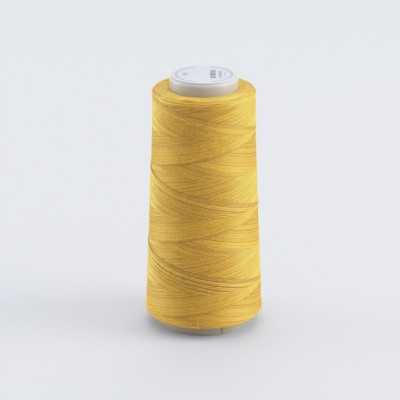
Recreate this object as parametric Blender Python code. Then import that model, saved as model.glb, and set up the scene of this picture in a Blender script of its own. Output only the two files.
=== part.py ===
"""Cone of sewing thread: thread cross-wound on a tapered plastic core, with a round paper label.

Metres, +Z up. The origin is on the floor, in the middle of the core's wide end.
The front is at -Y. Angles round the axis are measured from the front, rising towards +X.
"""
import math

import bmesh
import bpy
from mathutils import Vector

# The whole cone
CONE_HEIGHT = 0.120              # floor to the top of the label
GAP = 0.0003                     # clearance between pieces that rest on each other

# The plastic core, measured on its outside
CORE_FOOT_RADIUS = 0.0209        # at the floor
CORE_NECK_RADIUS = 0.0155        # where the rounded rim starts
CORE_WALL = 0.0015
FOOT_CHAMFER = 0.0004
RIM_WIDTH = 0.0007               # the rounded rim: how far in it reaches,
RIM_HEIGHT = 0.0012              # how far down,
RIM_SLANT = 1.3                  # and its form, from 1 for an even rounding to 2 for a flat bevel
LIP_INNER_RADIUS = 0.0120        # hole through the lip that carries the label
LIP_THICKNESS = 0.0015
NOTCH_WIDTH = 0.0008             # slot in the base rim that catches the thread's end
NOTCH_HEIGHT = 0.0040
NOTCH_ANGLE = math.radians(24)

# The paper label on the small end
LABEL_RADIUS = 0.0148
LABEL_THICKNESS = 0.0004

# The wound thread
THREAD_FOOT_HEIGHT = 0.0053
THREAD_HEAD_HEIGHT = 0.1140
THREAD_FOOT_RADIUS = 0.0272      # of the straight side, carried down to the foot height
THREAD_HEAD_RADIUS = 0.0228      # of the straight side, carried up to the head height
HEAD_SWELL = 0.0006              # the side stands out by this much at the head
HEAD_SWELL_START = 0.0880        # height where that swelling begins
FOOT_ROUNDING = 0.0024
HEAD_ROUNDING = 0.0020
FACE_DISH = 0.0004               # each end face sinks by this much towards the core

# The main crossing bands of the winding, low ridges that climb round the side
TURN_RISE = 0.0365               # height gained in one turn
BAND_COLUMNS = ("hand", "front_height", "width", "rise")
BANDS = (
    (-1, 0.0985, 0.0125, 0.00032),
    (+1, 0.0925, 0.0125, 0.00028),
    (-1, 0.0800, 0.0070, 0.00018),
    (+1, 0.0740, 0.0070, 0.00018),
)
BAND_EDGE = 0.0020               # width of the slope along each edge of a band
BAND_FADE = 0.0040               # height over which a band dies out at each end of the side

# How finely the round pieces are stepped
STEPS_AROUND = 60
SIDE_STEPS = 72
ROUNDING_STEPS = 4
FACE_STEPS = 3


def clear_scene():
    for old in list(bpy.data.objects):
        bpy.data.objects.remove(old, do_unlink=True)


def plain_material(name, colour, roughness):
    material = bpy.data.materials.new(name)
    material.use_nodes = True
    shader = material.node_tree.nodes["Principled BSDF"]
    shader.inputs["Base Color"].default_value = (*colour, 1.0)
    shader.inputs["Roughness"].default_value = roughness
    shader.inputs["Metallic"].default_value = 0.0
    return material


def mix(start, end, share):
    return start + (end - start) * share


def arc(centre_radius, centre_height, size, start_degrees, end_degrees, steps=ROUNDING_STEPS):
    """Outline points (radius, height) on a rounding; 0 degrees points outwards, 90 points up."""
    points = []
    for step in range(steps + 1):
        turn = math.radians(mix(start_degrees, end_degrees, step / steps))
        points.append((centre_radius + size * math.cos(turn), centre_height + size * math.sin(turn)))
    return points


def add_object(name, mesh, material):
    piece = bpy.data.objects.new(name, mesh)
    bpy.context.scene.collection.objects.link(piece)
    piece.data.materials.append(material)
    return piece


def turned_piece(name, outline, material, sharp_degrees=40):
    """Turn a closed outline of (radius, height) points round Z into one closed ring-shaped body."""
    shape = bmesh.new()
    corners = [shape.verts.new((0.0, -radius, height)) for radius, height in outline]
    edges = [shape.edges.new((corners[i - 1], corners[i])) for i in range(len(corners))]
    bmesh.ops.spin(shape, geom=corners + edges, cent=(0, 0, 0), axis=(0, 0, 1),
                   angle=math.tau, steps=STEPS_AROUND, use_merge=True)
    bmesh.ops.recalc_face_normals(shape, faces=shape.faces)
    mesh = bpy.data.meshes.new(name)
    shape.to_mesh(mesh)
    shape.free()
    mesh.shade_smooth()
    mesh.set_sharp_from_angle(angle=math.radians(sharp_degrees))
    return add_object(name, mesh, material)


def core_radius(height):
    """Outer radius of the core's tapered wall."""
    neck_height = label_seat() - RIM_HEIGHT
    return mix(CORE_FOOT_RADIUS, CORE_NECK_RADIUS, height / neck_height)


def label_seat():
    """Height of the lip's flat top, which carries the label."""
    return CONE_HEIGHT - LABEL_THICKNESS - GAP


def rim_points():
    """Outline points of the core's top rim, from the wall up to the flat lip."""
    points = []
    for step in range(ROUNDING_STEPS + 1):
        turn = math.pi / 2 * step / ROUNDING_STEPS
        out, up = math.cos(turn) ** RIM_SLANT, math.sin(turn) ** RIM_SLANT
        points.append((CORE_NECK_RADIUS - RIM_WIDTH * (1 - out), label_seat() - RIM_HEIGHT * (1 - up)))
    return points


def make_core(material):
    seat = label_seat()
    lip_underside = seat - LIP_THICKNESS
    outline = [
        (CORE_FOOT_RADIUS - CORE_WALL, 0.0),
        (CORE_FOOT_RADIUS - FOOT_CHAMFER, 0.0),
        (core_radius(FOOT_CHAMFER), FOOT_CHAMFER),
    ]
    outline += rim_points()
    outline += [
        (LIP_INNER_RADIUS, seat),
        (LIP_INNER_RADIUS, lip_underside),
        (core_radius(lip_underside) - 2 * CORE_WALL, lip_underside),
        (core_radius(lip_underside) - CORE_WALL, lip_underside - CORE_WALL),
    ]
    core = turned_piece("core", outline, material)
    cut_notch(core)
    return core


def cut_notch(core):
    """Cut the thread slot up through the base rim, on the front right of the core."""
    bpy.ops.mesh.primitive_cube_add(size=1.0)
    cutter = bpy.context.object
    cutter.name = "notch_cutter"
    cutter.scale = (NOTCH_WIDTH, 4 * CORE_WALL, 2 * NOTCH_HEIGHT)
    wall_middle = CORE_FOOT_RADIUS - CORE_WALL / 2
    cutter.location = (wall_middle * math.sin(NOTCH_ANGLE), -wall_middle * math.cos(NOTCH_ANGLE), 0.0)
    cutter.rotation_euler = (0.0, 0.0, NOTCH_ANGLE)
    cutter.hide_render = True
    cutter.display_type = "WIRE"
    cut = core.modifiers.new("notch", "BOOLEAN")
    cut.operation = "DIFFERENCE"
    cut.solver = "EXACT"
    cut.object = cutter


def side_radius(height):
    """Radius of the thread's side at a height, before the crossing bands are raised on it."""
    climbed = (height - THREAD_FOOT_HEIGHT) / (THREAD_HEAD_HEIGHT - THREAD_FOOT_HEIGHT)
    swelling = max(0.0, (height - HEAD_SWELL_START) / (THREAD_HEAD_HEIGHT - HEAD_SWELL_START))
    return mix(THREAD_FOOT_RADIUS, THREAD_HEAD_RADIUS, climbed) + HEAD_SWELL * swelling ** 2


def face_points(inner_radius, inner_height, outer_radius, outer_height):
    """Outline points across an end face, from the core outwards, without the outer point itself."""
    points = []
    for step in range(FACE_STEPS):
        share = step / FACE_STEPS
        sink = (1 - share) ** 2
        points.append((mix(inner_radius, outer_radius, share), mix(outer_height, inner_height, sink)))
    return points


def band_relief(angle, height):
    """How far the crossing bands stand out of the side at one place."""
    side_foot = THREAD_FOOT_HEIGHT + FOOT_ROUNDING
    side_head = THREAD_HEAD_HEIGHT - HEAD_ROUNDING
    fade = min(1.0, (height - side_foot) / BAND_FADE, (side_head - height) / BAND_FADE)
    total = 0.0
    for row in BANDS:
        band = dict(zip(BAND_COLUMNS, row))
        middle = band["front_height"] + band["hand"] * TURN_RISE * angle / math.tau
        away = math.remainder(height - middle, TURN_RISE)
        inside = min(1.0, max(0.0, (band["width"] / 2 - abs(away)) / BAND_EDGE))
        total += band["rise"] * inside * inside * (3 - 2 * inside)
    return total * max(0.0, fade)


def raise_bands(piece):
    for vertex in piece.data.vertices:
        place = vertex.co
        radius = math.hypot(place.x, place.y)
        if abs(radius - side_radius(place.z)) < GAP / 10:
            angle = math.atan2(place.x, -place.y)
            outwards = Vector((place.x, place.y, 0.0)).normalized()
            vertex.co = place + outwards * band_relief(angle, place.z)


def make_thread_package(material):
    foot, head = THREAD_FOOT_HEIGHT, THREAD_HEAD_HEIGHT
    side_foot = foot + FOOT_ROUNDING
    side_head = head - HEAD_ROUNDING
    bore_foot = core_radius(foot) + GAP
    bore_head = core_radius(head) + GAP
    foot_arc = arc(side_radius(side_foot) - FOOT_ROUNDING, side_foot, FOOT_ROUNDING, -90, 0)
    head_arc = arc(side_radius(side_head) - HEAD_ROUNDING, side_head, HEAD_ROUNDING, 0, 90)
    outline = face_points(bore_foot, foot + FACE_DISH, *foot_arc[0])
    outline += foot_arc
    for step in range(1, SIDE_STEPS):
        height = mix(side_foot, side_head, step / SIDE_STEPS)
        outline.append((side_radius(height), height))
    outline += head_arc
    outline += reversed(face_points(bore_head, head - FACE_DISH, *head_arc[-1]))
    package = turned_piece("thread_package", outline, material)
    raise_bands(package)
    return package


def make_label(material):
    disc = bmesh.new()
    bmesh.ops.create_cone(disc, cap_ends=True, segments=STEPS_AROUND, radius1=LABEL_RADIUS,
                          radius2=LABEL_RADIUS, depth=LABEL_THICKNESS)
    mesh = bpy.data.meshes.new("label")
    disc.to_mesh(mesh)
    disc.free()
    mesh.shade_smooth()
    mesh.set_sharp_from_angle(angle=math.radians(40))
    label = add_object("label", mesh, material)
    label.location.z = CONE_HEIGHT - LABEL_THICKNESS / 2
    return label


def build():
    clear_scene()
    make_core(plain_material("pale plastic", (0.66, 0.67, 0.66), 0.42))
    make_thread_package(plain_material("yellow thread", (0.72, 0.44, 0.09), 0.62))
    make_label(plain_material("white paper", (0.80, 0.82, 0.85), 0.55))


build()
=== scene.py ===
import math

import bmesh
import bpy
import numpy as np
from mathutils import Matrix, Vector


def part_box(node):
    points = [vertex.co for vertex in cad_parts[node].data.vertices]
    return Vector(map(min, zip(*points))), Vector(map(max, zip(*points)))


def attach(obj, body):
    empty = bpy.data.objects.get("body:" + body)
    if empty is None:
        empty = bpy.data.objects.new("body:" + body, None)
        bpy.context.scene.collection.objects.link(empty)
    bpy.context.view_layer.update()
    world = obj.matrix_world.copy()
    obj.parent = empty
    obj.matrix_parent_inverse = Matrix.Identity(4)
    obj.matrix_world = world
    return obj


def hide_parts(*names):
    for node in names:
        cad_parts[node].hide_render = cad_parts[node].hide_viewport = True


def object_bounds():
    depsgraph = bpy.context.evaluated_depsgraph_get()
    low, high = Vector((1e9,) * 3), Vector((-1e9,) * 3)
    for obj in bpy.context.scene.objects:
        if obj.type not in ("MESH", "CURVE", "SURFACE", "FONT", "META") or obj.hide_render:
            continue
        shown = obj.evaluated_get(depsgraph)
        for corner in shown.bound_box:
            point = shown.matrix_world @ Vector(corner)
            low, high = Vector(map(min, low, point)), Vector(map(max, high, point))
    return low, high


# A cone of sewing thread: crossed turns of yellow thread on a tapered plastic core, a paper label on top.
# Metres, +Z up, the front at -Y. Turns go round from the front towards +X.

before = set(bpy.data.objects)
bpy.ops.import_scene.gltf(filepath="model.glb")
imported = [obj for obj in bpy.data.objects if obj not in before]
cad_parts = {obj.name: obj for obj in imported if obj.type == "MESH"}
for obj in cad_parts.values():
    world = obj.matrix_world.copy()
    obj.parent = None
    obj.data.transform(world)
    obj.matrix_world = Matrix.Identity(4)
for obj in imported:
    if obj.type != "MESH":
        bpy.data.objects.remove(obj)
cadLow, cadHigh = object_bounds()
mm = 0.001
chance = np.random.default_rng(7)   # every scattered value comes from here, the same each run


# Small helpers

def mix(start, end, share):
    return start + (end - start) * share


def smoothStep(share):
    share = np.clip(share, 0.0, 1.0)
    return share * share * (3 - 2 * share)


def addPiece(name, mesh, material):
    piece = bpy.data.objects.new(name, mesh)
    bpy.context.scene.collection.objects.link(piece)
    mesh.materials.append(material)
    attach(piece, "root")
    return piece


def arcPoints(centreRadius, centreHeight, size, startDegrees, endDegrees, steps):
    # an outline's rounding as (radius, height); 0 degrees points outwards, 90 points up
    turns = np.radians(np.linspace(startDegrees, endDegrees, steps + 1))
    return [(centreRadius + size * math.cos(t), centreHeight + size * math.sin(t)) for t in turns]


def turnedMesh(name, outline, steps, sharpDegrees=50):
    # turn a closed (radius, height) outline round Z
    shape = bmesh.new()
    corners = [shape.verts.new((0.0, -radius, height)) for radius, height in outline]
    edges = [shape.edges.new((corners[i - 1], corners[i])) for i in range(len(corners))]
    bmesh.ops.spin(shape, geom=corners + edges, cent=(0, 0, 0), axis=(0, 0, 1),
                   angle=math.tau, steps=steps, use_merge=True)
    bmesh.ops.recalc_face_normals(shape, faces=shape.faces)
    mesh = bpy.data.meshes.new(name)
    shape.to_mesh(mesh)
    shape.free()
    mesh.shade_smooth()
    mesh.set_sharp_from_angle(angle=math.radians(sharpDegrees))
    return mesh


# Node helpers for the materials

def startMaterial(name):
    material = bpy.data.materials.new(name)
    material.use_nodes = True
    tree = material.node_tree
    return material, tree, tree.nodes["Principled BSDF"]


def put(tree, kind, inputs=None, **settings):
    node = tree.nodes.new(kind)
    for key, value in settings.items():
        setattr(node, key, value)
    for key, value in (inputs or {}).items():
        if isinstance(value, bpy.types.NodeSocket):
            tree.links.new(value, node.inputs[key])
        else:
            node.inputs[key].default_value = value
    return node


def calc(tree, operation, first, second=0.0):
    return put(tree, "ShaderNodeMath", {0: first, 1: second}, operation=operation).outputs[0]


def between(tree, value, low, high, soft):
    # 1 where value lies between low and high, fading over soft at both ends
    rise = put(tree, "ShaderNodeMapRange", {"Value": value, "From Min": low - soft, "From Max": low})
    fall = put(tree, "ShaderNodeMapRange", {"Value": value, "From Min": high, "From Max": high + soft,
                                            "To Min": 1.0, "To Max": 0.0})
    return calc(tree, "MULTIPLY", rise.outputs[0], fall.outputs[0])


def colourMix(tree, share, first, second):
    node = put(tree, "ShaderNodeMix", {"Factor": share}, data_type="RGBA")
    for socket, colour in ((node.inputs["A"], first), (node.inputs["B"], second)):
        if isinstance(colour, bpy.types.NodeSocket):
            tree.links.new(colour, socket)
        else:
            socket.default_value = (*colour, 1.0)
    return node.outputs["Result"]


def bump(tree, shader, height, distance, strength):
    node = put(tree, "ShaderNodeBump", {"Height": height, "Distance": distance, "Strength": strength})
    tree.links.new(node.outputs[0], shader.inputs["Normal"])


# Camera, floor and light

cameraSetup = {
    "distance": 816 * mm,        # level distance from the cone's axis
    "height": 354.3 * mm,
    "tiltDown": 19.868,          # degrees
    "turnLeft": 0.124,           # degrees; the cone stands a little right of the middle
    "focalPixels": 1870.4,       # for a picture 400 pixels wide
    "pictureWidth": 400,
    "exposure": 1.5,             # the tone curve lifts the picture by this, so the lights are that much lower
    "brightest": 0.923,          # the picture's highlights level off towards this, as film's do
    "shoulder": 4.0,             # how late and how sharply they level off
}

studio = {
    "floorReach": 1.5,           # metres of flat floor round the cone, before it curves up into the wall
    "curve": 0.7,
    "wallHeight": 2.2,
    "floorColour": (0.534, 0.567, 0.624),
    "floorRoughness": 0.6,
    "floorSteps": 96,
    "worldColour": (1.0, 0.98, 0.975),
    "worldStrength": 0.93,
    "lights": [
        # degrees round from the front, level distance, height, then width and height, watts, height aimed at
        {"name": "rightBox", "round": 83, "away": 1.1, "up": 0.5,
         "size": (0.7, 0.8), "watts": 10.7, "aim": 0.06},
        {"name": "leftBox", "round": -104, "away": 1.1, "up": 0.24,
         "size": (0.7, 0.8), "watts": 7.25, "aim": 0.06},
        {"name": "backFloorBox", "round": 180, "away": 1.0, "up": 1.1,
         "size": (1.4, 0.6), "watts": 5.0, "aim": -1.4},
    ],
}


def makeCamera():
    lens = bpy.data.cameras.new("camera")
    lens.sensor_width = 36.0
    lens.lens = cameraSetup["focalPixels"] / cameraSetup["pictureWidth"] * lens.sensor_width
    camera = bpy.data.objects.new("camera", lens)
    camera.location = (0.0, -cameraSetup["distance"], cameraSetup["height"])
    camera.rotation_euler = (math.radians(90 - cameraSetup["tiltDown"]), 0.0,
                             math.radians(cameraSetup["turnLeft"]))
    bpy.context.scene.collection.objects.link(camera)
    bpy.context.scene.camera = camera


def makeFloor():
    # a round sweep of pale paper, so the background is the same from every side
    flat, curve, floorLevel = studio["floorReach"], studio["curve"], cadLow.z
    outline = [(flat * share, floorLevel) for share in (0.0, 0.25, 0.5, 0.75)]
    outline += arcPoints(flat, floorLevel + curve, curve, -90, 0, 16)
    outline.append((flat + curve, floorLevel + studio["wallHeight"]))
    shape = bmesh.new()
    corners = [shape.verts.new((0.0, -radius, height)) for radius, height in outline]
    edges = [shape.edges.new(pair) for pair in zip(corners, corners[1:])]
    bmesh.ops.spin(shape, geom=corners + edges, cent=(0, 0, 0), axis=(0, 0, 1),
                   angle=math.tau, steps=studio["floorSteps"], use_merge=True)
    bmesh.ops.remove_doubles(shape, verts=shape.verts, dist=0.001)
    bmesh.ops.recalc_face_normals(shape, faces=shape.faces)
    mesh = bpy.data.meshes.new("paperSweep")
    shape.to_mesh(mesh)
    shape.free()
    mesh.shade_smooth()
    sweep = bpy.data.objects.new("paperSweep", mesh)
    bpy.context.scene.collection.objects.link(sweep)
    material, tree, shader = startMaterial("studioPaper")
    shader.inputs["Base Color"].default_value = (*studio["floorColour"], 1.0)
    shader.inputs["Roughness"].default_value = studio["floorRoughness"]
    mesh.materials.append(material)


def makeLight():
    world = bpy.data.worlds.new("studioWorld")
    world.use_nodes = True
    sky = world.node_tree.nodes["Background"]
    sky.inputs["Color"].default_value = (*studio["worldColour"], 1.0)
    sky.inputs["Strength"].default_value = studio["worldStrength"]
    bpy.context.scene.world = world
    for row in studio["lights"]:
        aim = Vector((0.0, 0.0, row["aim"]))
        lamp = bpy.data.lights.new(row["name"], "AREA")
        lamp.shape = "RECTANGLE"
        lamp.size, lamp.size_y = row["size"]
        lamp.energy = row["watts"]
        box = bpy.data.objects.new(row["name"], lamp)
        turn = math.radians(row["round"])
        box.location = (row["away"] * math.sin(turn), -row["away"] * math.cos(turn), row["up"])
        box.rotation_euler = (aim - box.location).to_track_quat("-Z", "Y").to_euler()
        bpy.context.scene.collection.objects.link(box)


def softenHighlights():
    # a tone curve: straight in the darks and the middle, levelling off in the highlights
    view = bpy.context.scene.view_settings
    view.view_transform = "Standard"
    view.use_curve_mapping = True
    curve = view.curve_mapping.curves[3]
    curve.points[1].location = (1.0, levelOff(1.0))
    for light in (0.1, 0.2, 0.3, 0.4, 0.5, 0.6, 0.7, 0.85):
        curve.points.new(light, levelOff(light))
    view.curve_mapping.update()


def levelOff(light):
    level, power = light * cameraSetup["exposure"], cameraSetup["shoulder"]
    return level / (1 + (level / cameraSetup["brightest"]) ** power) ** (1 / power)


softenHighlights()
makeCamera()
makeFloor()
makeLight()
print("camera, floor and light are set")


# What the frame says about the pieces

def nodeRings(node):
    # the node's rings of points from low to high: heights, smallest and largest radius
    points = np.array([vertex.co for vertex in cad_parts[node].data.vertices])
    reach = np.hypot(points[:, 0], points[:, 1])
    level = np.round(points[:, 2], 6)
    heights = np.unique(level)
    smallest = np.array([reach[level == height].min() for height in heights])
    largest = np.array([reach[level == height].max() for height in heights])
    return heights, smallest, largest


threadLow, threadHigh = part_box("thread_package")
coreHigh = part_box("core")[1]
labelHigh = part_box("label")[1]


# The plastic core

core = {
    "wall": 1.5 * mm,
    "rimWidth": 0.7 * mm,        # the rounded rim reaches this far in
    "rimHeight": 1.2 * mm,       # and this far down
    "rimSlant": 1.3,             # 1 is an even rounding, 2 a flat bevel
    "lipHole": 12.0 * mm,        # radius
    "lipThickness": 1.5 * mm,
    "lipRounding": 0.3 * mm,
    "footChamfer": 0.4 * mm,
    "notchWidth": 0.45 * mm,
    "notchHeight": 4.0 * mm,
    "notchAngle": 24.0,          # degrees round from the front
    "roughness": 0.38,
    "clouding": (0.93, 1.03),    # the plastic's shade varies between these shares, in soft clouds
    "scuffDepth": 0.03 * mm,
    "plasticAndPaintedLightColours": [
        # height and colour; the plastic's own colour, with painted yellow light thrown back from the thread
        # below the rim, and painted light from above making the rim lighter
        (0.0, (0.415, 0.350, 0.240)),
        (112.0 * mm, (0.412, 0.378, 0.260)),
        (117.0 * mm, (0.412, 0.388, 0.292)),
        (119.3 * mm, (0.520, 0.515, 0.480)),
    ],
    "steps": 144,
}
coreHeights, _, coreOuter = nodeRings("core")
coreFootRadius = float(coreOuter[0] + core["footChamfer"])
coreNeckRadius = float(np.interp(coreHigh.z - core["rimHeight"], coreHeights, coreOuter))


def coreRadius(height):
    return mix(coreFootRadius, coreNeckRadius, height / (coreHigh.z - core["rimHeight"]))


def coreMaterial():
    material, tree, shader = startMaterial("corePlastic")
    shader.inputs["Roughness"].default_value = core["roughness"]
    shader.inputs["Subsurface Weight"].default_value = 0.15
    shader.inputs["Subsurface Radius"].default_value = (0.6, 0.55, 0.5)
    shader.inputs["Subsurface Scale"].default_value = 1.2 * mm
    place = put(tree, "ShaderNodeTexCoord").outputs["Object"]
    cloud = put(tree, "ShaderNodeTexNoise", {"Vector": place, "Scale": 90.0, "Detail": 3.0}).outputs["Fac"]
    scuff = put(tree, "ShaderNodeTexNoise", {"Vector": place, "Scale": 900.0, "Detail": 4.0}).outputs["Fac"]
    level = put(tree, "ShaderNodeSeparateXYZ", {"Vector": place}).outputs["Z"]
    top = core["plasticAndPaintedLightColours"][-1][0]
    # painted light: the colour runs by height, yellower below the rim for the thread's thrown-back light and
    # lighter at the rim for the light from above
    ramp = put(tree, "ShaderNodeValToRGB", {"Fac": calc(tree, "DIVIDE", level, top)})
    stops = ramp.color_ramp.elements
    stops.remove(stops[1])
    for number, (height, colour) in enumerate(core["plasticAndPaintedLightColours"]):
        stop = stops[0] if number == 0 else stops.new(height / top)
        stop.color = (*colour, 1.0)
    darkest, lightest = core["clouding"]
    shade = colourMix(tree, cloud, (darkest,) * 3, (lightest,) * 3)
    mixed = put(tree, "ShaderNodeMix", {"Factor": 1.0}, data_type="RGBA", blend_type="MULTIPLY")
    tree.links.new(ramp.outputs["Color"], mixed.inputs["A"])
    tree.links.new(shade, mixed.inputs["B"])
    tree.links.new(mixed.outputs["Result"], shader.inputs["Base Color"])
    bump(tree, shader, scuff, core["scuffDepth"], 0.6)
    return material


def makeCore():
    top, wall, chamfer = coreHigh.z, core["wall"], core["footChamfer"]
    underside = top - core["lipThickness"]
    outline = arcPoints(coreFootRadius - wall + chamfer / 2, chamfer / 2, chamfer / 2, 180, 270, 3)
    outline += arcPoints(coreFootRadius - chamfer, chamfer, chamfer, -90, 0, 4)
    for turn in np.radians(np.linspace(0, 90, 13)):
        out, up = math.cos(turn) ** core["rimSlant"], math.sin(turn) ** core["rimSlant"]
        outline.append((coreNeckRadius - core["rimWidth"] * (1 - out), top - core["rimHeight"] * (1 - up)))
    lipRounding = core["lipRounding"]
    outline += arcPoints(core["lipHole"] + lipRounding, top - lipRounding, lipRounding, 90, 180, 4)
    outline += [
        (core["lipHole"], underside),
        (coreRadius(underside) - 2 * wall, underside),
        (coreRadius(underside) - wall, underside - wall),
    ]
    mesh = turnedMesh("coreTube", outline, core["steps"])
    piece = addPiece("coreTube", mesh, coreMaterial())
    cutNotch(piece)
    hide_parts("core")


def cutNotch(piece):
    angle = math.radians(core["notchAngle"])
    middle = coreFootRadius - core["wall"] / 2
    bpy.ops.mesh.primitive_cube_add(size=1.0)
    cutter = bpy.context.object
    cutter.scale = (core["notchWidth"], 4 * core["wall"], 2 * core["notchHeight"])
    cutter.location = (middle * math.sin(angle), -middle * math.cos(angle), 0.0)
    cutter.rotation_euler = (0.0, 0.0, angle)
    cut = piece.modifiers.new("notch", "BOOLEAN")
    cut.operation = "DIFFERENCE"
    cut.object = cutter
    bpy.context.view_layer.objects.active = piece
    bpy.ops.object.modifier_apply(modifier=cut.name)
    bpy.data.objects.remove(cutter, do_unlink=True)


makeCore()
print("core is made")


# The paper label, with plain printed marks

label = {
    "edge": 0.12 * mm,
    "middle": 0.3 * mm,          # radius of the flat middle of each face
    "seatGap": 0.06 * mm,
    "steps": 144,
    "paper": (0.508, 0.553, 0.617),
    "paperRoughness": 0.42,
    "ink": (0.05, 0.05, 0.06),
    "printEdge": 0.08 * mm,      # how softly the print ends
    "ringRadii": (12.2 * mm, 13.2 * mm),
    "ringTicks": 56,
    "ringOpen": 0.22,            # how far the ring stays open at the front and the back
    "ringInk": 1.0,
    "dashGap": 0.34,             # the share of a dash pitch that stays bare
    "bars": [
        # middle x, width x, half length y, dash pitch along y, how dark
        {"x": 4.1 * mm, "width": 2.6 * mm, "half": 6.6 * mm, "pitch": 2.2 * mm, "ink": 1.0},
        {"x": 7.4 * mm, "width": 1.6 * mm, "half": 5.8 * mm, "pitch": 1.3 * mm, "ink": 0.75},
        {"x": 9.6 * mm, "width": 1.0 * mm, "half": 3.6 * mm, "pitch": 1.0 * mm, "ink": 0.4},
        {"x": -8.6 * mm, "width": 2.0 * mm, "half": 2.4 * mm, "pitch": 2.4 * mm, "ink": 0.7},
    ],
}


def labelMaterial():
    material, tree, shader = startMaterial("labelPaper")
    shader.inputs["Roughness"].default_value = label["paperRoughness"]
    place = put(tree, "ShaderNodeTexCoord").outputs["Object"]
    axes = put(tree, "ShaderNodeSeparateXYZ", {"Vector": place}).outputs
    x, y = axes["X"], axes["Y"]
    fromMiddle = put(tree, "ShaderNodeCombineXYZ", {"X": x, "Y": y}).outputs[0]
    reach = put(tree, "ShaderNodeVectorMath", {0: fromMiddle}, operation="LENGTH").outputs["Value"]
    angle = calc(tree, "ARCTAN2", x, y)
    # a ring of fine ticks, left out at the front and the back
    ring = between(tree, reach, *label["ringRadii"], 0.1 * mm)
    tick = calc(tree, "SINE", calc(tree, "MULTIPLY", angle, float(label["ringTicks"])))
    tick = calc(tree, "GREATER_THAN", tick, 0.1)
    away = calc(tree, "ABSOLUTE", calc(tree, "SINE", angle))
    closed = calc(tree, "GREATER_THAN", away, label["ringOpen"])
    marks = calc(tree, "MULTIPLY", calc(tree, "MULTIPLY", ring, tick), closed)
    marks = calc(tree, "MULTIPLY", marks, label["ringInk"])
    for bar in label["bars"]:
        left, right = bar["x"] - bar["width"] / 2, bar["x"] + bar["width"] / 2
        across = between(tree, x, left, right, label["printEdge"])
        along = between(tree, y, -bar["half"], bar["half"], label["printEdge"])
        dash = calc(tree, "FRACT", calc(tree, "DIVIDE", y, bar["pitch"]))
        dash = calc(tree, "GREATER_THAN", dash, label["dashGap"])
        block = calc(tree, "MULTIPLY", calc(tree, "MULTIPLY", across, along), dash)
        marks = calc(tree, "MAXIMUM", marks, calc(tree, "MULTIPLY", block, bar["ink"]))
    fibre = put(tree, "ShaderNodeTexNoise", {"Vector": place, "Scale": 1500.0, "Detail": 5.0}).outputs["Fac"]
    paper = colourMix(tree, fibre, tuple(0.97 * channel for channel in label["paper"]), label["paper"])
    tree.links.new(colourMix(tree, marks, paper, label["ink"]), shader.inputs["Base Color"])
    bump(tree, shader, fibre, 0.01 * mm, 0.5)
    return material


def makeLabel():
    radius, edge = labelHigh.x, label["edge"]
    seat = coreHigh.z + label["seatGap"]     # pasted down, so it reaches almost to the core's rim
    outline = [(label["middle"], seat)]
    outline += arcPoints(radius - edge, seat + edge, edge, -90, 0, 3)
    outline += arcPoints(radius - edge, labelHigh.z - edge, edge, 0, 90, 3)
    outline += [(label["middle"], labelHigh.z)]
    shape = bmesh.new()
    corners = [shape.verts.new((0.0, -r, z)) for r, z in outline]
    edges = [shape.edges.new(pair) for pair in zip(corners, corners[1:])]
    bmesh.ops.spin(shape, geom=corners + edges, cent=(0, 0, 0), axis=(0, 0, 1),
                   angle=math.tau, steps=label["steps"], use_merge=True)
    bmesh.ops.holes_fill(shape, edges=shape.edges, sides=label["steps"])
    bmesh.ops.recalc_face_normals(shape, faces=shape.faces)
    mesh = bpy.data.meshes.new("labelDisc")
    shape.to_mesh(mesh)
    shape.free()
    mesh.shade_smooth()
    mesh.set_sharp_from_angle(angle=math.radians(50))
    piece = addPiece("labelDisc", mesh, labelMaterial())
    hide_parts("label")


makeLabel()
print("label is made")


# The skin of the wound thread: its outline from the bore at the foot, round the side, to the bore at the head

package = {
    "footRounding": 2.4 * mm,
    "headRounding": 2.0 * mm,
    "faceDish": 0.4 * mm,        # each end face sinks by this much towards the core
    "boreClearance": 0.12 * mm,
    "skinStep": 0.1 * mm,
    "roundingSteps": 16,
    "faceSteps": 12,
}


def facePoints(innerRadius, innerHeight, outerRadius, outerHeight):
    shares = np.linspace(0, 1, package["faceSteps"] + 1)[:-1]
    return [(mix(innerRadius, outerRadius, s), mix(outerHeight, innerHeight, (1 - s) ** 2)) for s in shares]


def skinOutline():
    heights, smallest, _ = nodeRings("thread_package")
    footRounding, headRounding = package["footRounding"], package["headRounding"]
    footSide, headSide = threadLow.z + footRounding, threadHigh.z - headRounding
    onSide = (heights > footSide - 0.01 * mm) & (heights < headSide + 0.01 * mm)
    sideHeights, sideRadii = heights[onSide], smallest[onSide]
    steps = package["roundingSteps"]
    footArc = arcPoints(sideRadii[0] - footRounding, footSide, footRounding, -90, 0, steps)
    headArc = arcPoints(sideRadii[-1] - headRounding, headSide, headRounding, 0, 90, steps)
    dish, clear = package["faceDish"], package["boreClearance"]
    boreFoot = coreRadius(threadLow.z) + clear
    boreHead = coreRadius(threadHigh.z) + clear
    points = facePoints(boreFoot, threadLow.z + dish, *footArc[0]) + footArc
    points += list(zip(sideRadii[1:-1].tolist(), sideHeights[1:-1].tolist()))
    points += headArc + facePoints(boreHead, threadHigh.z - dish, *headArc[-1])[::-1]
    return np.array(points)


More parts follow.
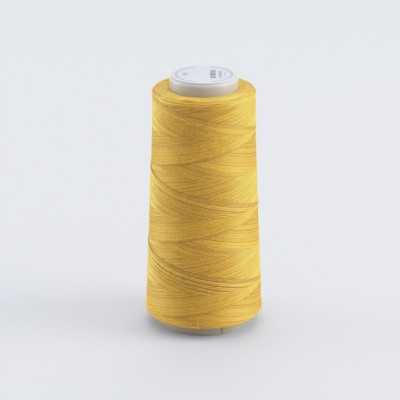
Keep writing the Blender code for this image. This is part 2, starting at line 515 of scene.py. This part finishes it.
class Skin:
    # lane is the distance along the outline; height is measured out of the surface
    def __init__(self):
        corners = skinOutline()
        lengths = np.concatenate([[0], np.cumsum(np.hypot(*np.diff(corners, axis=0).T))])
        self.length = lengths[-1]
        self.lane = np.linspace(0, self.length, int(self.length / package["skinStep"]) + 1)
        self.radius = np.interp(self.lane, lengths, corners[:, 0])
        self.level = np.interp(self.lane, lengths, corners[:, 1])
        away, up = np.gradient(self.radius), np.gradient(self.level)
        size = np.hypot(away, up)
        self.outwards, self.upwards = up / size, -away / size

    def at(self, turn, lane, height):
        outwards = np.interp(lane, self.lane, self.outwards)
        upwards = np.interp(lane, self.lane, self.upwards)
        radius = np.interp(lane, self.lane, self.radius) + outwards * height
        level = np.interp(lane, self.lane, self.level) + upwards * height
        angle = turn * math.tau
        place = np.stack([radius * np.sin(angle), -radius * np.cos(angle), level], axis=-1)
        out = np.stack([outwards * np.sin(angle), -outwards * np.cos(angle), upwards], axis=-1)
        return place, out

    def laneAt(self, level):
        # the lane of a height on the side
        onSide = self.outwards > 0.9
        return float(np.interp(level, self.level[onSide], self.lane[onSide]))


skin = Skin()


# The turns of thread, laid one on another as the winder laid them

winding = {
    "threadWidth": 0.29 * mm,    # of one yarn, a little flattened
    "threadHeight": 0.23 * mm,
    "riseInTurn": 36.5 * mm,
    "footTurnBack": 4.75 * mm,   # heights where the straight runs would meet
    "headTurnBack": 114.25 * mm,
    "turnBackRounding": (1.3 * mm, 2.6 * mm),   # how much sooner the thread really turns, first and last
    "turnBackScatter": (0.92, 1.08),
    "cycles": 2.0,               # times that the pattern goes once round before it ends
    "lastRising": 51.2 * mm,     # where the last rising run crosses the front
    "lastFalling": 67.8 * mm,
    "groups": [
        # by how far before the end they are laid: threads in a group, their pitch, and the gap after it,
        # from least to most, where the thread rises and where it falls
        {"upTo": 1.9 * mm, "threads": 8, "pitch": 0.24 * mm,
         "rising": (0.0, 0.0), "falling": (0.60 * mm, 0.60 * mm)},
        {"upTo": 10.5 * mm, "threads": 7, "pitch": 0.265 * mm,
         "rising": (0.0, 0.04 * mm), "falling": (0.38 * mm, 0.50 * mm)},
        {"upTo": 15.0 * mm, "threads": 7, "pitch": 0.25 * mm,
         "rising": (0.16 * mm, 0.30 * mm), "falling": (0.0, 0.10 * mm)},
        {"upTo": 32.0 * mm, "threads": 6, "pitch": 0.25 * mm,
         "rising": (0.06 * mm, 0.24 * mm), "falling": (0.0, 0.18 * mm)},
        {"upTo": 999 * mm, "threads": 7, "pitch": 0.245 * mm,
         "rising": (0.0, 0.18 * mm), "falling": (0.0, 0.16 * mm)},
    ],
    "fallingGaps": (1.0, 0.0),   # how much of its gap a falling group keeps at the foot and at the head
    "waver": 0.12 * mm,          # slow drift that neighbouring runs share
    "waverRuns": 60,             # the drift changes over this many runs
    "waverTurns": (0.31, 0.83, 1.7),   # and sways so often in one turn
    "jitter": 0.03 * mm,         # how far a single run strays
    "sink": 0.04 * mm,           # how far a thread presses into the one it crosses
    "press": 0.45,               # how much of a hump under it the tight thread flattens
    "pressReach": 0.6 * mm,
    "tensionSteps": 3.0,         # the tight thread spans dips this many steps long
    "stepsPerTurn": 360,
    "drawEvery": 4,              # steps
    "mapCell": 0.05 * mm,        # the map of how high the thread is piled has cells this long
    "showTolerance": 0.05 * mm,  # a thread this far under the others still shows
    "paintedShadeReach": 0.25 * mm,    # a thread gets painted groove shade when it lies below what is this near to it
    "proud": 0.15 * mm,          # how far the finished turns stand out of the frame's surface
    "proudest": 0.33 * mm,       # and how far at most
    "pieces": 4,
}


def planFronts():
    # where the rising and the falling runs cross the front, in the order they are laid, and how far
    # each then moves towards the others of its group, which leaves a gap after the group
    left, rows = winding["cycles"] * winding["riseInTurn"], []
    while left > 0:
        group = next(group for group in winding["groups"] if left <= group["upTo"])
        count, pitch = group["threads"] + chance.integers(-1, 2), group["pitch"]
        up, down = chance.uniform(*group["rising"]) / count, chance.uniform(*group["falling"]) / count
        for number in range(count):
            back = left - number * pitch
            rising, falling = winding["lastRising"] + back, winding["lastFalling"] - back
            rows.append((rising, falling, up * number, -down * number))
        left -= count * pitch
    return rows


def planRuns():
    # the turn count where each run would leave one end and meet the other, and how roundly it turns there
    foot, head, rise = winding["footTurnBack"], winding["headTurnBack"], winding["riseInTurn"]
    half = (head - foot) / rise
    starts, gathers, turn = [], [], 0.0
    for rising, falling, up, down in planFronts():
        turn += math.remainder((foot - rising) / rise - turn, 1.0)
        back = turn + half
        back += math.remainder((falling - head) / rise - back, 1.0)
        starts += [turn, back]
        gathers += [up, down]
        turn = back + half
    roundings = np.linspace(*winding["turnBackRounding"], len(starts) + 1)
    roundings *= chance.uniform(*winding["turnBackScatter"], len(roundings))
    return np.array(starts), gathers, half, roundings


def runLevels(turn, start, half, roundings, run):
    # heights along one run, straight but for the rounded turn back at each end
    foot, head, rise = winding["footTurnBack"], winding["headTurnBack"], winding["riseInTurn"]
    first, last, way = (foot, head, 1.0) if run % 2 == 0 else (head, foot, -1.0)
    levels = []
    for away, size in ((turn - start, roundings[run]), (start + half - turn, roundings[run + 1])):
        share = away * rise * math.log(2) / size
        levels.append(np.logaddexp(share, -share) * size / math.log(2))
    return mix(first + way * levels[0], last - way * levels[1], smoothStep((turn - start) / half))


def layTurns():
    starts, gathers, half, roundings = planRuns()
    meets = np.concatenate([[starts[0]], (starts[:-1] + half + starts[1:]) / 2, [starts[-1] + half]])
    steps, cell = winding["stepsPerTurn"], winding["mapCell"]
    halfWidth, halfHeight = winding["threadWidth"] / 2, winding["threadHeight"] / 2
    pile = np.zeros((steps, int(skin.length / cell) + 2))
    reach = np.arange(-int(halfWidth / cell), int(halfWidth / cell) + 1)
    bearing = np.abs(reach) <= len(reach) // 4      # a thread rests on its middle, not on its neighbour
    around = np.arange(-int(winding["pressReach"] / cell), int(winding["pressReach"] / cell) + 1, 2)
    crown = halfHeight * np.sqrt(1 - (reach * cell / halfWidth) ** 2 * 0.98)   # its round top
    tension = np.exp(-0.5 * (np.arange(-8, 9) / winding["tensionSteps"]) ** 2)
    tension /= tension.sum()
    low, high = threadLow.z + 3 * mm, threadHigh.z - 3 * mm
    lowLane, highLane = skin.laneAt(low), skin.laneAt(high)
    sways = winding["waverTurns"]
    drift = chance.uniform(0, math.tau, (len(sways), len(starts) // winding["waverRuns"] + 3))
    runs = []
    for run in range(len(starts)):
        step = np.arange(math.ceil(meets[run] * steps), math.ceil(meets[run + 1] * steps))
        turn = step / steps
        level = runLevels(turn, starts[run], half, roundings, run)
        lane = lowLane + (level - low) / (high - low) * (highLane - lowLane)
        for number, speed in enumerate(sways):
            phase = np.interp(run / winding["waverRuns"], np.arange(drift.shape[1]), drift[number])
            sway = np.sin((turn - starts[run]) * math.tau * speed + phase)
            lane = lane + winding["waver"] / (number + 1.5) * sway
        keep = mix(*winding["fallingGaps"], (level - low) / (high - low)) if run % 2 else 1.0
        lane = lane + gathers[run] * keep + chance.normal() * winding["jitter"]
        column = step % steps
        rows = (lane / cell).astype(int)[:, None] + reach
        under = pile[column[:, None], rows[:, bearing]].max(axis=1)
        nearby = pile[column[:, None], rows[:, len(reach) // 2, None] + around].mean(axis=1)
        under = mix(under, nearby, winding["press"])
        eased = np.convolve(np.pad(under, 8, mode="edge"), tension, mode="valid")
        middle = np.maximum(eased, under - winding["sink"]) + halfHeight
        pile[column[:, None], rows] = np.maximum(pile[column[:, None], rows], middle[:, None] + crown)
        runs.append({"run": run, "turn": turn, "lane": lane, "middle": middle,
                     "column": column, "rows": rows})
    # how far each thread lies below what is near it, which sets its painted groove shade
    nearTop = np.cumsum(pile, axis=1)
    wide = int(winding["paintedShadeReach"] / cell)
    nearTop[:, wide:-wide] = (nearTop[:, 2 * wide:] - nearTop[:, :-2 * wide]) / (2 * wide)
    for row in runs:
        top = row["middle"][:, None] + crown
        seen = top > pile[row["column"][:, None], row["rows"]] - winding["showTolerance"]
        row["seen"] = seen.any(axis=1)
        row["sunk"] = nearTop[row["column"], row["rows"][:, len(reach) // 2]] - row["middle"] - halfHeight
    # how deep the thread lies on the whole, from the foot to the head
    ease = np.exp(-0.5 * (np.arange(-30, 31) / 10.0) ** 2)
    depth = np.convolve(np.pad(pile.mean(axis=0), 30, mode="edge"), ease / ease.sum(), mode="valid")
    return runs, depth


windingRuns, windingDepth = layTurns()
seenShare = np.mean(np.concatenate([row["seen"] for row in windingRuns]))
print(f"{len(windingRuns)} runs laid, {windingDepth.mean() / mm:.2f} mm deep, {seenShare:.0%} in sight")


def fromSkin(lane, height):
    # heights above the bottom turns, counted from the frame's surface instead
    depth = np.interp(lane, np.arange(len(windingDepth)) * winding["mapCell"], windingDepth)
    return np.minimum(height - depth + winding["proud"], winding["proudest"])


thread = {
    "deep": (0.53, 0.165, 0.002),        # a yarn's colour lies between these two
    "bright": (0.96, 0.480, 0.016),
    "roughness": 0.55,
    "ior": 2.1,                  # dyed polyester glints in its own colour, more than clear plastic does
    "specular": 1.0,
    "specularTint": (0.92, 1.0, 0.37),
    "sheen": 0.08,
    "sheenRoughness": 0.6,
    "sheenTint": (1.0, 0.8, 0.4),
    "twist": 1.1 * mm,           # length of one twist of the yarn
    # painted shade between the twist's plies and painted light on their crowns
    "twistPaintedShade": 0.25,
    # painted shade: threads sunk between their neighbours, and the body under them, are darkened towards this
    # brown in place of the shade in the grooves
    "paintedShadeColour": (0.24, 0.026, 0.001),
    "paintedShadeFrom": 0.01 * mm,     # the painted groove shade starts this much above level
    "paintedShadeDepth": 0.06 * mm,
    "toneMiddle": 0.46,          # 0 is deep, 1 is bright
    "toneSpread": 0.46,
    "headEven": (-0.3 * mm, 1.2 * mm),   # the tone evens out from here to the head, over this length
    "footEven": (0.45, 11.0 * mm),       # and at the foot by this share, over this height
    "evenTone": 0.6,
    "slub": 1.1 * mm,            # length over which a yarn's own tone changes
    "slubDepth": 2.9,
    "cloudDepth": 0.15,          # how much the tone clouds over a few millimetres
    "fibreDepth": 0.02 * mm,
}


def threadShader(name):
    material, tree, shader = startMaterial(name)
    shader.inputs["Roughness"].default_value = thread["roughness"]
    shader.inputs["IOR"].default_value = thread["ior"]
    shader.inputs["Specular IOR Level"].default_value = thread["specular"]
    shader.inputs["Specular Tint"].default_value = (*thread["specularTint"], 1.0)
    shader.inputs["Sheen Weight"].default_value = thread["sheen"]
    shader.inputs["Sheen Roughness"].default_value = thread["sheenRoughness"]
    shader.inputs["Sheen Tint"].default_value = (*thread["sheenTint"], 1.0)
    return material, tree, shader


def threadMaterial():
    material, tree, shader = threadShader("yellowThread")
    place = put(tree, "ShaderNodeTexCoord").outputs["Object"]
    tone = put(tree, "ShaderNodeAttribute", attribute_name="tone").outputs["Fac"]
    along = put(tree, "ShaderNodeAttribute", attribute_name="along").outputs["Fac"]
    around = put(tree, "ShaderNodeAttribute", attribute_name="around").outputs["Fac"]
    cloud = put(tree, "ShaderNodeTexNoise", {"Vector": place, "Scale": 140.0, "Detail": 4.0}).outputs["Fac"]
    stretch = put(tree, "ShaderNodeCombineXYZ", {"X": calc(tree, "DIVIDE", along, thread["slub"]),
                                                 "Y": calc(tree, "MULTIPLY", tone, 900.0)}).outputs[0]
    slub = put(tree, "ShaderNodeTexNoise", {"Vector": stretch, "Scale": 1.0, "Detail": 2.0}).outputs["Fac"]
    share = tone
    for pattern, depth in ((cloud, thread["cloudDepth"]), (slub, thread["slubDepth"])):
        change = calc(tree, "MULTIPLY", calc(tree, "SUBTRACT", pattern, 0.5), depth)
        share = calc(tree, "ADD", share, change)
    # the twist's wave darkens the yarn as painted shade in the creases between plies and lightens it as
    # painted light on their crowns; the same wave drives the bump
    turns = calc(tree, "ADD", calc(tree, "DIVIDE", along, thread["twist"]), around)
    wave = calc(tree, "SINE", calc(tree, "MULTIPLY", turns, math.tau))
    share = calc(tree, "ADD", share, calc(tree, "MULTIPLY", wave, thread["twistPaintedShade"]))
    even = put(tree, "ShaderNodeAttribute", attribute_name="even").outputs["Fac"]
    share = put(tree, "ShaderNodeMix", {"Factor": even, "A": share, "B": thread["evenTone"]}).outputs[0]
    # painted shade: sunk threads are mixed towards the painted shade colour
    paintedShade = put(tree, "ShaderNodeAttribute", attribute_name="paintedShade").outputs["Fac"]
    colour = colourMix(tree, share, thread["deep"], thread["bright"])
    tree.links.new(colourMix(tree, paintedShade, colour, thread["paintedShadeColour"]), shader.inputs["Base Color"])
    fibre = put(tree, "ShaderNodeTexNoise", {"Vector": place, "Scale": 9000.0, "Detail": 2.0}).outputs["Fac"]
    bump(tree, shader, calc(tree, "ADD", wave, fibre), thread["fibreDepth"], 0.6)
    return material


def strandMesh(name, strands):
    # each strand becomes one closed three-sided yarn; its "start" is where its twist begins
    halfWidth, halfHeight = winding["threadWidth"] / 2, winding["threadHeight"] / 2
    points, tones, paintedShades, evens, alongs, quads, ends = [], [], [], [], [], [], []
    base = 0
    for strand in strands:
        place, out = strand["place"], strand["out"]
        count = len(place)
        ahead = np.gradient(place, axis=0)
        ahead /= np.linalg.norm(ahead, axis=1, keepdims=True)
        aside = np.cross(ahead, out)
        ring = np.stack([place + out * halfHeight,
                         place - out * halfHeight * 0.5 + aside * halfWidth,
                         place - out * halfHeight * 0.5 - aside * halfWidth], axis=1)
        points.append(ring.reshape(-1, 3))
        tones.append(np.full(count * 3, strand["tone"]))
        paintedShades.append(np.repeat(strand["paintedShade"], 3))
        evens.append(np.repeat(strand["even"], 3))
        gone = np.concatenate([[0], np.cumsum(np.linalg.norm(np.diff(place, axis=0), axis=1))])
        alongs.append(np.repeat(strand["start"] + gone, 3))
        index = base + np.arange(count * 3).reshape(count, 3)
        after = np.roll(index, -1, axis=1)
        quads.append(np.stack([index[:-1], index[1:], after[1:], after[:-1]], axis=-1).reshape(-1, 4))
        ends += [index[0].tolist(), index[-1, ::-1].tolist()]
        base += count * 3
    mesh = bpy.data.meshes.new(name)
    mesh.from_pydata(np.concatenate(points).tolist(), [], np.concatenate(quads).tolist() + ends)
    mesh.shade_smooth()
    around = np.tile([0.0, 1 / 3, 2 / 3], base // 3)
    values = {"tone": np.concatenate(tones), "paintedShade": np.concatenate(paintedShades), "even": np.concatenate(evens),
              "along": np.concatenate(alongs), "around": around}
    for key, row in values.items():
        mesh.attributes.new(key, "FLOAT", "POINT").data.foreach_set("value", row.astype(np.float32))
    return mesh


def seenStrands():
    # the stretches of the runs that show, cut where they are buried
    every = winding["drawEvery"]
    turn, lane, middle, seen, sunk = (np.concatenate([row[key] for row in windingRuns])
                                      for key in ("turn", "lane", "middle", "seen", "sunk"))
    run = np.concatenate([np.full(len(row["turn"]), row["run"]) for row in windingRuns])
    used = len(seen) // every * every
    shown = seen[:used].reshape(-1, every).any(axis=1)
    shown = shown | np.roll(shown, 1) | np.roll(shown, -1)
    edges = np.flatnonzero(np.diff(np.concatenate([[0], shown.astype(int), [0]])))
    place, out = skin.at(turn[::every], lane[::every], fromSkin(lane[::every], middle[::every]))
    # two yarns laid side by side are alike in tone, and unlike the next two
    loose = chance.normal(size=(2, len(windingRuns) // 2 + 4)) * thread["toneSpread"] / 2
    tones = thread["toneMiddle"] + loose[:, 1:-2] + loose[:, 2:-1] - loose[:, :-3] - loose[:, 3:]
    tone = tones[run[::every] % 2, run[::every] // 2]
    # painted shade: a thread sunk below its neighbours gets darker, standing for the shade in the groove
    paintedShade = np.clip((sunk[::every] + thread["paintedShadeFrom"]) / thread["paintedShadeDepth"], 0, 1)
    toHead = skin.laneAt(threadHigh.z - package["headRounding"]) + thread["headEven"][0] - lane[::every]
    fromFoot = lane[::every] - skin.laneAt(threadLow.z + package["footRounding"])
    footShare = thread["footEven"][0] * (1 - smoothStep(fromFoot / thread["footEven"][1]))
    even = np.maximum(1 - smoothStep(toHead / thread["headEven"][1]), footShare)
    paintedShade *= 1 - even
    strands = []
    for start, stop in zip(edges[::2], edges[1::2]):
        piece = slice(start, min(stop + 1, len(place)))
        if piece.stop - piece.start > 1:
            strands.append({"place": place[piece], "out": out[piece], "tone": tone[start],
                            "paintedShade": paintedShade[piece], "even": even[piece], "start": start * 0.5 * mm})
    return strands


def makeWindings(material):
    # the strands are shared out so that every piece gets about as many points
    strands = seenStrands()
    points = np.cumsum([len(strand["place"]) for strand in strands])
    bounds = np.searchsorted(points, np.linspace(0, points[-1], winding["pieces"] + 1))
    bounds[-1] = len(strands)
    for number in range(winding["pieces"]):
        name = f"windingLayer{number + 1}"
        mesh = strandMesh(name, strands[bounds[number]:bounds[number + 1]])
        piece = addPiece(name, mesh, material)
        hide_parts("thread_package")
        print(f"{name}: {sum(len(face.vertices) - 2 for face in mesh.polygons)} triangles")


threadFinish = threadMaterial()
makeWindings(threadFinish)


# The turns seen end on, where the thread turned back at the foot and the head

endTurns = {
    "perEnd": 560,
    "halfSpread": 24.0,          # degrees shown on each side of the turning point
    "drawEvery": 4.0,            # degrees
    "turnRounding": 4.0 * mm,
    "scatter": 0.10 * mm,
    "overSide": 1.5 * mm,        # how far they reach from the rounding on to the side
    "tone": (0.3, 0.7),
    # painted groove shade, scattered at random
    "paintedShade": (0.0, 0.1),
    "even": 0.7,
}


def makeEndTurns(material):
    footTop = skin.laneAt(threadLow.z + package["footRounding"] + endTurns["overSide"])
    headLow = skin.laneAt(threadHigh.z - package["headRounding"] - endTurns["overSide"])
    clear = winding["threadWidth"] * 0.7     # keeps the innermost turn off the core
    spans = {"footTurns": (clear, footTop), "headTurns": (headLow, skin.length - clear)}
    spread = np.arange(-endTurns["halfSpread"], endTurns["halfSpread"] + 0.1, endTurns["drawEvery"]) / 360
    drop = np.hypot(spread * winding["riseInTurn"], endTurns["turnRounding"]) - endTurns["turnRounding"]
    for name, (first, last) in spans.items():
        strands = []
        for _ in range(endTurns["perEnd"]):
            lane = np.full(len(spread), chance.uniform(first, last))
            height = chance.uniform(-1, 1) * endTurns["scatter"] - drop
            place, out = skin.at(chance.uniform(0, 1) + spread, lane, height)
            strands.append({"place": place, "out": out, "tone": chance.uniform(*endTurns["tone"]),
                            "paintedShade": np.full(len(place), chance.uniform(*endTurns["paintedShade"])),
                            "even": np.full(len(place), endTurns["even"]), "start": 0.0})
        piece = addPiece(name, strandMesh(name, strands), material)
        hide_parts("thread_package")


makeEndTurns(threadFinish)
print("end turns are made")


# The wound body under the turns that are drawn singly

body = {
    "steps": 180,
    "rowStep": 1.2 * mm,
    "linePitch": 0.26 * mm,
    "lineDepth": 0.05 * mm,
    "under": 0.05 * mm,          # at least this far under the frame's surface
}


def bodyMaterial():
    material, tree, shader = threadShader("yellowThreadUnder")
    place = put(tree, "ShaderNodeTexCoord").outputs["Object"]
    axes = put(tree, "ShaderNodeSeparateXYZ", {"Vector": place}).outputs
    angle = calc(tree, "ARCTAN2", axes["X"], calc(tree, "MULTIPLY", axes["Y"], -1.0))
    climb = calc(tree, "MULTIPLY", angle, winding["riseInTurn"] / math.tau)
    ribs = []
    for hand in ("ADD", "SUBTRACT"):
        across = calc(tree, "DIVIDE", calc(tree, hand, axes["Z"], climb), body["linePitch"])
        ribs.append(calc(tree, "SINE", calc(tree, "MULTIPLY", across, math.tau)))
    cloud = put(tree, "ShaderNodeTexNoise", {"Vector": place, "Scale": 160.0, "Detail": 3.0}).outputs["Fac"]
    over = put(tree, "ShaderNodeMapRange", {"Value": cloud, "From Min": 0.47, "From Max": 0.53}).outputs[0]
    height = calc(tree, "ADD", calc(tree, "MULTIPLY", ribs[0], over),
                  calc(tree, "MULTIPLY", ribs[1], calc(tree, "SUBTRACT", 1.0, over)))
    # painted shade: the body shows only through the gaps between the strands, so it is coloured between the
    # painted shade colour and the deep yarn colour
    colour = colourMix(tree, cloud, thread["paintedShadeColour"], thread["deep"])
    tree.links.new(colour, shader.inputs["Base Color"])
    bump(tree, shader, height, body["lineDepth"], 0.8)
    return material


def makeBody():
    lanes = np.linspace(0, skin.length, int(skin.length / body["rowStep"]))
    sunk = np.minimum(fromSkin(lanes, 0.0), -body["under"])
    radius = np.interp(lanes, skin.lane, skin.radius) + np.interp(lanes, skin.lane, skin.outwards) * sunk
    level = np.interp(lanes, skin.lane, skin.level) + np.interp(lanes, skin.lane, skin.upwards) * sunk
    mesh = turnedMesh("woundBody", list(zip(radius.tolist(), level.tolist())), body["steps"], 60)
    piece = addPiece("woundBody", mesh, bodyMaterial())
    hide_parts("thread_package")


makeBody()
print("wound body is made")
